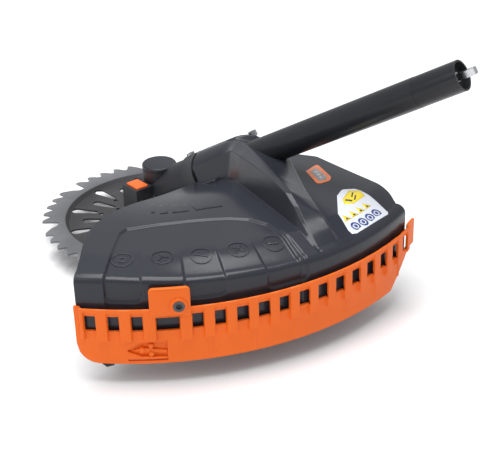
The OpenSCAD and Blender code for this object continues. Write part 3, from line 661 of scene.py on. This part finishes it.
def ring(x, y, radius, width, sides=40):
    """A flat ring, as outlines of its short pieces."""
    outer, inner = disc(x, y, radius, sides), disc(x, y, radius - width, sides)
    return [[outer[k], outer[(k + 1) % sides], inner[(k + 1) % sides], inner[k]] for k in range(sides)]


def bar(x, y, length, width, turn):
    """A straight bar's outline, centred on a point and turned in plan by degrees."""
    c, s = math.cos(math.radians(turn)), math.sin(math.radians(turn))
    corners = [(-length, -width), (length, -width), (length, width), (-length, width)]
    return [(x + (a * c - b * s) / 2, y + (a * s + b * c) / 2) for a, b in corners]


def polar(x, y, radius, angle):
    """A point at a distance and an angle in radians from another."""
    return (x + radius * math.cos(angle), y + radius * math.sin(angle))


def join(name, parts):
    """Joins objects into the first, under a new name."""
    bpy.ops.object.select_all(action="DESELECT")
    for p in parts:
        p.select_set(True)
    bpy.context.view_layer.objects.active = parts[0]
    bpy.ops.object.join()
    parts[0].name = name
    return parts[0]


def fix_to_head(ob, slot, *nodes):
    """Rides a piece that already has its finishes on the head."""
    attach(ob, "head")
    if nodes:
        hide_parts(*nodes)
    return ob


# the white label: a patch at one end, and two rows of plain shapes along the rim
LABEL = [(194.6, -25.5), (193.3, -14), (194.5, -11.6), (202.2, -6.8), (207, -7.4), (238.5, -20.8),
         (240.2, -24), (231.5, -65.6), (228.5, -68.4), (224, -66.6), (209.4, -54.4)]
LABEL_PATCH = [(201.6, -30), (199, -12.5), (206.8, -8), (215.2, -15), (213, -32), (207.6, -37.6)]
LABEL_PATCH_MARKS = [bar(205, -18, 9, 1.2, -70), bar(209.5, -22, 9, 1.2, -70), bar(207, -29, 6, 3, 10)]
LABEL_FROM, LABEL_STEP = -14.3, 2.35  # angles of the first pair of shapes and between pairs
TRIANGLES_R, DISCS_R = 224.2, 234.2
TRIANGLE_SIZE, TRIANGLE_SPREAD = 4.6, 1.05
label_parts = [drape("label_sheet", [LABEL], SHEET, "label_white", bevel=0.1),
               drape("label_patch", [LABEL_PATCH], PATCH, "label_yellow"),
               drape("label_patch_mark", LABEL_PATCH_MARKS, PRINT, "label_dark")]
for k in range(4):
    turn = math.radians(LABEL_FROM + LABEL_STEP * k)
    x, y = polar(0, 0, TRIANGLES_R, turn)
    triangle = [polar(x, y, TRIANGLE_SIZE, a)
                for a in (turn + math.pi, turn + TRIANGLE_SPREAD, turn - TRIANGLE_SPREAD)]
    label_parts.append(drape(f"label_triangle_{k}", [triangle], PATCH, "label_yellow"))
    label_parts.append(drape(f"label_dot_{k}", [disc(x + 0.6, y, 1.1, 12)], PRINT, "label_dark"))
    x, y = polar(0, 0, DISCS_R, turn)
    label_parts.append(drape(f"label_disc_{k}", [disc(x, y, 4.3)], PATCH, "label_blue"))
    label_parts.append(drape(f"label_disc_middle_{k}", ring(x, y, 2.6, 1.0, 20), PRINT, "label_white"))
fix_to_head(join("guard_label_sheet", label_parts), "label_white", "guard_label")

# the orange tag on the ridge, with a grey patch
TAG = [(148.8, 7), (149.2, 24.6), (150.4, 26.4), (152.6, 25.4), (173.4, 6.8), (175.8, 0.6), (175.4, -3),
       (172, -9.6), (169.6, -11), (167.4, -10)]
TAG_PATCH = [(152.6, 8.6), (152.8, 20), (170.4, 4.4), (172, -1.6), (169, -6.8)]
tag_parts = [drape("tag_sheet", [TAG], SHEET, "tag_orange", bevel=0.1),
             drape("tag_patch", [TAG_PATCH], PATCH, "tag_grey")]
for k in range(3):
    cell = bar(157.5 + 4.4 * k, 10.5 - 4.6 * k, 2.6, 2.6, 44)
    tag_parts.append(drape(f"tag_cell_{k}", [cell], PRINT, "label_white"))
for k in range(2):
    edge = bar(156.5 + 6.4 * k, 14.5 - 6.6 * k, 4, 0.9, -44)
    tag_parts.append(drape(f"tag_edge_{k}", [edge], PRINT, "tag_orange"))
fix_to_head(join("guard_tag_sheet", tag_parts), "tag_orange", "guard_tag")

# raised round marks between the panels, each with a plain symbol, and an arrow of four plates
MARKS = [(96.7, -196.7), (122.2, -180.3), (146.2, -163.0), (166.8, -142.2), (184.4, -118.4)]
MARK_R, MARK_LINE = 8.6, 0.9
MARK_HEIGHT, ARROW_HEIGHT, MARK_BEVEL = 0.55, 0.5, 0.15


def spokes(x, y, out, length, width, angles):
    """Bars about a point, each pointing away from it; angles are in radians."""
    return [bar(*polar(x, y, out, a), length, width, math.degrees(a)) for a in angles]


def mark_symbol(k, x, y):
    """The plain symbol inside a mark."""
    if k == 0:
        return ring(x, y, 3.4, 1.0, 24)
    if k == 1:
        return spokes(x, y, 2.6, 4.4, 1.1, (0.5, 2.6, 4.7))
    if k == 2:
        return [bar(x, y, 11, 1.1, 20)]
    if k == 3:
        return spokes(x, y, 3, 4, 1.4, (0.2, 1.8, 3.3, 4.9))
    return [bar(x, y, 8, 2.6, 45)]


mark_parts = [drape(f"mark_{k}", ring(x, y, MARK_R, MARK_LINE) + mark_symbol(k, x, y), MARK_HEIGHT,
                    "guard_grey", bevel=MARK_BEVEL) for k, (x, y) in enumerate(MARKS)]
ARROW = [[(74.3, -123.2), (77.2, -121.7), (66.1, -105.1), (63.1, -106.6)],
         [(82.1, -121.7), (86.9, -117.2), (76.6, -102), (71, -105.7)],
         [(90, -115.9), (100.8, -107.3), (92.2, -96), (80.6, -102.3)],
         [(105.5, -104.5), (121, -87.8), (97.2, -85.9), (100.8, -92.2), (97, -97.4)]]
mark_parts.append(drape("arrow", ARROW, ARROW_HEIGHT, "guard_grey", bevel=MARK_BEVEL))
fix_to_head(join("guard_marks", mark_parts), "guard_grey")

# ---------------------------------------------------------------- skirt

SKIRT_OUT = 249.8  # outside of the plain wall
SKIRT_T = 2.2
SKIRT_DEG = 1 / 4.36  # one mm along the skirt, in degrees
SKIRT_LOW, SKIRT_TOP = 18.1, 67.4
SKIRT_FROM, SKIRT_END = -71.8, 2.4
CORNER_R = 17  # round lower corner at the start
SLANT_FROM, SLANT_SLOPE, SLANT_RISE = 42, 0.87, 27.0  # slanted lower edge at the end, from the end
WINDOWS = [-69.0, -64.9, -60.8] + [-50.3 + 3.95 * k for k in range(13)]
WIDE_WINDOW = -55.5
WINDOW_HALF = 1.03
WINDOW_Z = (47.0, 60.0)
TAB = (-58.5, -51.5)
TAB_Z = (60.2, 85.0)
POCKET = (-62.9, -55.9)
POCKET_Z = (22, 38.5)
SCREW_ANGLE, SCREW_Z = -53.5, 69.6
HOOK_OUT, HOOK_Z = 2.5, (39, 66.8)  # the hooks between the windows stand out from the wall
BAND_OUT, BAND_LOW = 2.1, 65.5  # the band that joins them along the top
SCOOP_Z = (60.4, 65.0)  # above a window the wall slopes out to the band
LIP_OUT, LIP_LOW = 1.5, 67  # the band's upper edge
PLAIN_START, PLAIN_END = 0.9, 3.2  # degrees without hooks at the two ends
RIB_OUT, RIB_Z, RIB_HALF, RIB_AFTER = 0.9, (21, 38.5), 0.12, 1.1
FIRST_RIB = -66.9
SKIRT_BEVEL = 0.45
COLUMN_STEP = 0.42
WINDOW_CLEAR, WINDOW_PAIR = 0.2, 0.09  # no other column this near a window's edge, and its own two
PLATE_CLEAR, PLATE_PAIR = (0.1, 0.2), 0.06  # the same for the tab's and the pocket's edges
SKIRT_ROWS = [SKIRT_LOW, 19.0, 20.5, 24, 28, 32, 35.6, 38.2, 39.2, 41.5, 44, 46.4, 47, 51, 55, 59.4, 60,
              60.8, 62, 63.4, 64.8, 65.6, 66.6, SKIRT_TOP]


def skirt_columns(gaps):
    """Angles of the skirt's columns, with a close pair at every edge that has to stay sharp."""
    marks = set(np.arange(SKIRT_FROM, SKIRT_END, COLUMN_STEP).round(3)) | {SKIRT_FROM, SKIRT_END}
    for edge in (a for gap in gaps for a in gap):
        marks -= {x for x in marks if abs(x - edge) < WINDOW_CLEAR}
        marks |= {round(edge - WINDOW_PAIR, 3), round(edge + WINDOW_PAIR, 3)}
    for edge in (*TAB, *POCKET):
        marks -= {x for x in marks if PLATE_CLEAR[0] < abs(x - edge) < PLATE_CLEAR[1]}
        marks |= {round(edge - PLATE_PAIR, 3), round(edge + PLATE_PAIR, 3)}
    return np.array(sorted(marks))


def skirt_low(angle):
    """Height of the skirt's lower edge."""
    from_start = (angle - SKIRT_FROM) / SKIRT_DEG
    from_end = (SKIRT_END - angle) / SKIRT_DEG
    low = SKIRT_LOW
    if from_start < CORNER_R:
        low += CORNER_R - math.sqrt(max(CORNER_R ** 2 - (CORNER_R - from_start) ** 2, 0))
    if from_end < SLANT_FROM:
        low += max(0.0, min(SLANT_RISE, (SLANT_FROM - from_end) * SLANT_SLOPE))
    return low


def skirt_relief(z, in_gap, between_ends):
    """How far the skirt's hooks and band stand out from its plain wall in a row."""
    out = 0.0
    if in_gap:
        out = BAND_OUT * float(smoothstep(z, *SCOOP_Z))
    elif between_ends and HOOK_Z[0] <= z <= HOOK_Z[1]:
        out = HOOK_OUT
    if between_ends and z >= BAND_LOW:
        out = max(out, BAND_OUT)
    if z > LIP_LOW:
        out = min(out, LIP_OUT)
    return out


def build_skirt():
    """The skirt's wall, with its windows and the pocket's opening."""
    gaps = [(w - WINDOW_HALF, w + WINDOW_HALF) for w in WINDOWS]
    gaps.append((WIDE_WINDOW - 2 * WINDOW_HALF, WIDE_WINDOW + 2 * WINDOW_HALF))
    gaps.sort()
    ribs = [end + RIB_AFTER for _, end in gaps if end > TAB[1] - 1] + [FIRST_RIB]
    angles, rows = skirt_columns(gaps), np.array(SKIRT_ROWS)
    verts = np.zeros((len(rows), len(angles), 3))
    for j, angle in enumerate(angles):
        in_gap = any(a < angle < b for a, b in gaps)
        between_ends = SKIRT_FROM + PLAIN_START < angle < SKIRT_END - PLAIN_END
        on_rib = min(abs(angle - rib) for rib in ribs) < RIB_HALF
        low = skirt_low(angle)
        squeeze = (WINDOW_Z[0] - low) / (WINDOW_Z[0] - SKIRT_LOW)
        for i, row_z in enumerate(rows):
            z = low + (row_z - SKIRT_LOW) * squeeze if row_z < WINDOW_Z[0] else row_z
            out = skirt_relief(row_z, in_gap, between_ends)
            if on_rib and RIB_Z[0] < z < RIB_Z[1]:
                out = RIB_OUT
            verts[i, j] = on_skirt(angle, z, out)
    mid_angle = (angles[1:] + angles[:-1]) / 2
    mid_z = (rows[1:] + rows[:-1]) / 2
    in_window = [any(a < angle < b for a, b in gaps) for angle in mid_angle]
    faces = []
    for i, j in np.ndindex(len(mid_z), len(mid_angle)):
        window = WINDOW_Z[0] < mid_z[i] < WINDOW_Z[1] and in_window[j]
        pocket = POCKET_Z[0] < mid_z[i] < POCKET_Z[1] and POCKET[0] < mid_angle[j] < POCKET[1]
        if not (window or pocket):
            corner = i * len(angles) + j
            above = corner + len(angles)
            faces.append((corner, corner + 1, above + 1, above))
    ob = mesh_object("skirt_body", verts.reshape(-1, 3), faces, smooth=False)
    bm = bmesh.new()
    bm.from_mesh(ob.data)
    bmesh.ops.delete(bm, geom=[v for v in bm.verts if not v.link_faces], context="VERTS")
    bm.to_mesh(ob.data)
    bm.free()
    add_mod(ob, "SOLIDIFY", thickness=SKIRT_T * MM, offset=-1.0)
    add_mod(ob, "BEVEL", width=SKIRT_BEVEL * MM, segments=2, limit_method="ANGLE",
            angle_limit=math.radians(28), use_clamp_overlap=True)
    apply_mods(ob)
    ob.data.shade_smooth()
    return ob


def on_skirt(angle, z, out=0.0):
    """A point at an angle and a height, standing out from the skirt's plain wall."""
    a = math.radians(angle)
    return np.array([(SKIRT_OUT + out) * math.cos(a), (SKIRT_OUT + out) * math.sin(a), z])


def skirt_plate(name, outline, out, depth, bevel):
    """A plate that follows the skirt: outline is angle and height, from out inwards by depth."""
    pts = []
    for (a0, z0), (a1, z1) in zip(outline, outline[1:] + outline[:1]):
        steps = max(int(abs(a1 - a0) / SKIRT_DEG / 2), int(abs(z1 - z0) / 3), 1)
        pts += [(a0 + (a1 - a0) * k / steps, z0 + (z1 - z0) * k / steps) for k in range(steps)]
    bm = bmesh.new()
    vs = [bm.verts.new(on_skirt(a, z, out) * MM) for a, z in pts]
    face = bm.faces.new(vs)
    bm.normal_update()
    if face.normal.dot(Vector(on_skirt(pts[0][0], 0) / SKIRT_OUT)) < 0:
        face.normal_flip()
    ob = object_from(name, bm)
    add_mod(ob, "SOLIDIFY", thickness=depth * MM, offset=-1.0)
    add_mod(ob, "BEVEL", width=bevel * MM, segments=3, limit_method="ANGLE", angle_limit=math.radians(40))
    apply_mods(ob)
    ob.data.shade_smooth()
    return ob


def rounded(angles, heights, radius):
    """Outline of a plate with rounded upper corners, anticlockwise seen from outside."""
    (a0, a1), (z0, z1) = angles, heights
    turns = [k / 6 * math.pi / 2 for k in range(7)]
    inset = [(radius - radius * math.cos(t)) * SKIRT_DEG for t in turns]
    level = [z1 - radius + radius * math.sin(t) for t in turns]
    return ([(a0, z0), (a1, z0)] + [(a1 - i, z) for i, z in zip(inset, level)]
            + [(a0 + i, z) for i, z in zip(inset[::-1], level[::-1])])


def boss(name, angle, z, radius, out, depth, hole=0.0):
    """A round boss on the skirt with its axis radial, open in the middle where hole is set."""
    sides = 40
    a = math.radians(angle)
    axis, up = Vector((math.cos(a), math.sin(a), 0)), Vector((0, 0, 1))
    side = axis.cross(up)
    centre = Vector(on_skirt(angle, z))
    profile = [(hole, -depth), (hole, out - 0.5), (hole + 0.5, out)] if hole else [(0.01, out)]
    profile += [(radius - 0.6, out), (radius - 0.15, out - 0.2), (radius, out - 0.7), (radius + 0.3, -depth)]
    bm = bmesh.new()
    turns = np.linspace(0, 2 * math.pi, sides, endpoint=False)
    rings = []
    for r, o in profile:
        points = [centre + axis * o + side * (r * math.cos(t)) + up * (r * math.sin(t)) for t in turns]
        rings.append([bm.verts.new(point * MM) for point in points])
    for lower, upper in zip(rings, rings[1:]):
        for k in range(sides):
            bm.faces.new((lower[k], lower[(k + 1) % sides], upper[(k + 1) % sides], upper[k]))
    if not hole:
        bm.faces.new(rings[0])
    bmesh.ops.recalc_face_normals(bm, faces=bm.faces)
    return object_from(name, bm, smooth=True)


# the pocket: a floor set back, upper and lower sides that narrow to a point, and three pins on arms
FLOOR = [(POCKET[0] - .1, 21.5), (POCKET[1] + .1, 21.5), (POCKET[1] + .1, 39), (POCKET[0] - .1, 39)]
UPPER = [(POCKET[0], 29.9), (-60.6, 36.9), (POCKET[1], 36.9), (POCKET[1], 38.6), (POCKET[0], 38.6)]
LOWER = [(POCKET[0], 21.9), (POCKET[1], 21.9), (POCKET[1], 23.6), (-60.6, 24.6), (POCKET[0], 29.3)]
ARM = [(-61.9, 29.6), (-59.6, 27.6), (POCKET[1], 27.2), (POCKET[1], 29.2), (-59.2, 31.6), (-60.6, 31.6)]
LINK = [(-59.0, 27.0), (-58.5, 27.0), (-58.5, 36.0), (-59.0, 36.0)]
PINS = [(-60.3, 30.2, 2.2), (-58.7, 34.3, 2.0), (-58.7, 26.8, 2.0)]  # angle, height and radius


def build_skirt_set():
    """The skirt with its tab, the screw's boss and the pocket, as one moulding."""
    parts = [build_skirt(),
             skirt_plate("tab", rounded(TAB, TAB_Z, 3.5), out=3.4, depth=3.2, bevel=0.6),
             boss("screw_boss", SCREW_ANGLE, SCREW_Z, 6.6, out=4.3, depth=1.5, hole=3.4),
             skirt_plate("floor", FLOOR, out=-2.0, depth=0.8, bevel=0.1),
             skirt_plate("upper", UPPER, out=0.0, depth=2.2, bevel=0.3),
             skirt_plate("lower", LOWER, out=0.0, depth=2.2, bevel=0.3),
             skirt_plate("arm", ARM, out=-0.5, depth=1.8, bevel=0.3),
             skirt_plate("link", LINK, out=-0.6, depth=1.6, bevel=0.2)]
    parts += [boss("pin", *pin, out=0.9, depth=2.5) for pin in PINS]
    return finish_piece(join("skirt_moulding", parts), "head", "skirt_orange", "guard_skirt")


build_skirt_set()

# ---------------------------------------------------------------- ears for the clamp, and the lock's spring

def tube_block(name, distances, sides, ups, bevel):
    """A rounded block beside the tube: from and to along it, across it and above its axis, in mm."""
    corners = [along_tube(d, s, u) for d in distances for s in sides for u in ups]
    faces = [(0, 1, 3, 2), (4, 6, 7, 5), (0, 4, 5, 1), (2, 3, 7, 6), (0, 2, 6, 4), (1, 5, 7, 3)]
    ob = mesh_object(name, corners, faces)
    bm = bmesh.new()
    bm.from_mesh(ob.data)
    bmesh.ops.recalc_face_normals(bm, faces=bm.faces)
    bm.to_mesh(ob.data)
    bm.free()
    add_mod(ob, "BEVEL", width=bevel * MM, segments=4)
    apply_mods(ob)
    ob.data.shade_smooth()
    return ob


EAR_ALONG = (61, 90)
EAR_IN, EAR_OUT, EAR_LOW = 18.5, 33, -8
EAR_BACK_TOP, EAR_FRONT_TOP = 1, -1.5
EAR_BEVEL = 1.6
ear_back = tube_block("ear_back", EAR_ALONG, (EAR_IN, EAR_OUT), (EAR_LOW, EAR_BACK_TOP), EAR_BEVEL)
ear_front = tube_block("ear_front", EAR_ALONG, (-EAR_OUT, -EAR_IN), (EAR_LOW, EAR_FRONT_TOP), EAR_BEVEL)
finish_piece(join("guard_ears", [ear_back, ear_front]), "head", "guard_grey")

# the spring stands on the casing and is squeezed by the button
spring = add_object("lock_coil", frame["nodes"]["lock_spring"].data.copy())
spring.data.shade_smooth()
finish_piece(spring, "head", "spring_steel", "lock_spring")
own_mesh(spring)

# ---------------------------------------------------------------- rounded metal and moulded pieces

EDGES = {"housing_cap": 0.7, "lock_button": 1.0, "guard_clamp": 0.6, "line_knife": 0.3, "collar_nut": 0.4}
for node, width in EDGES.items():
    rounded_copy(node, width)
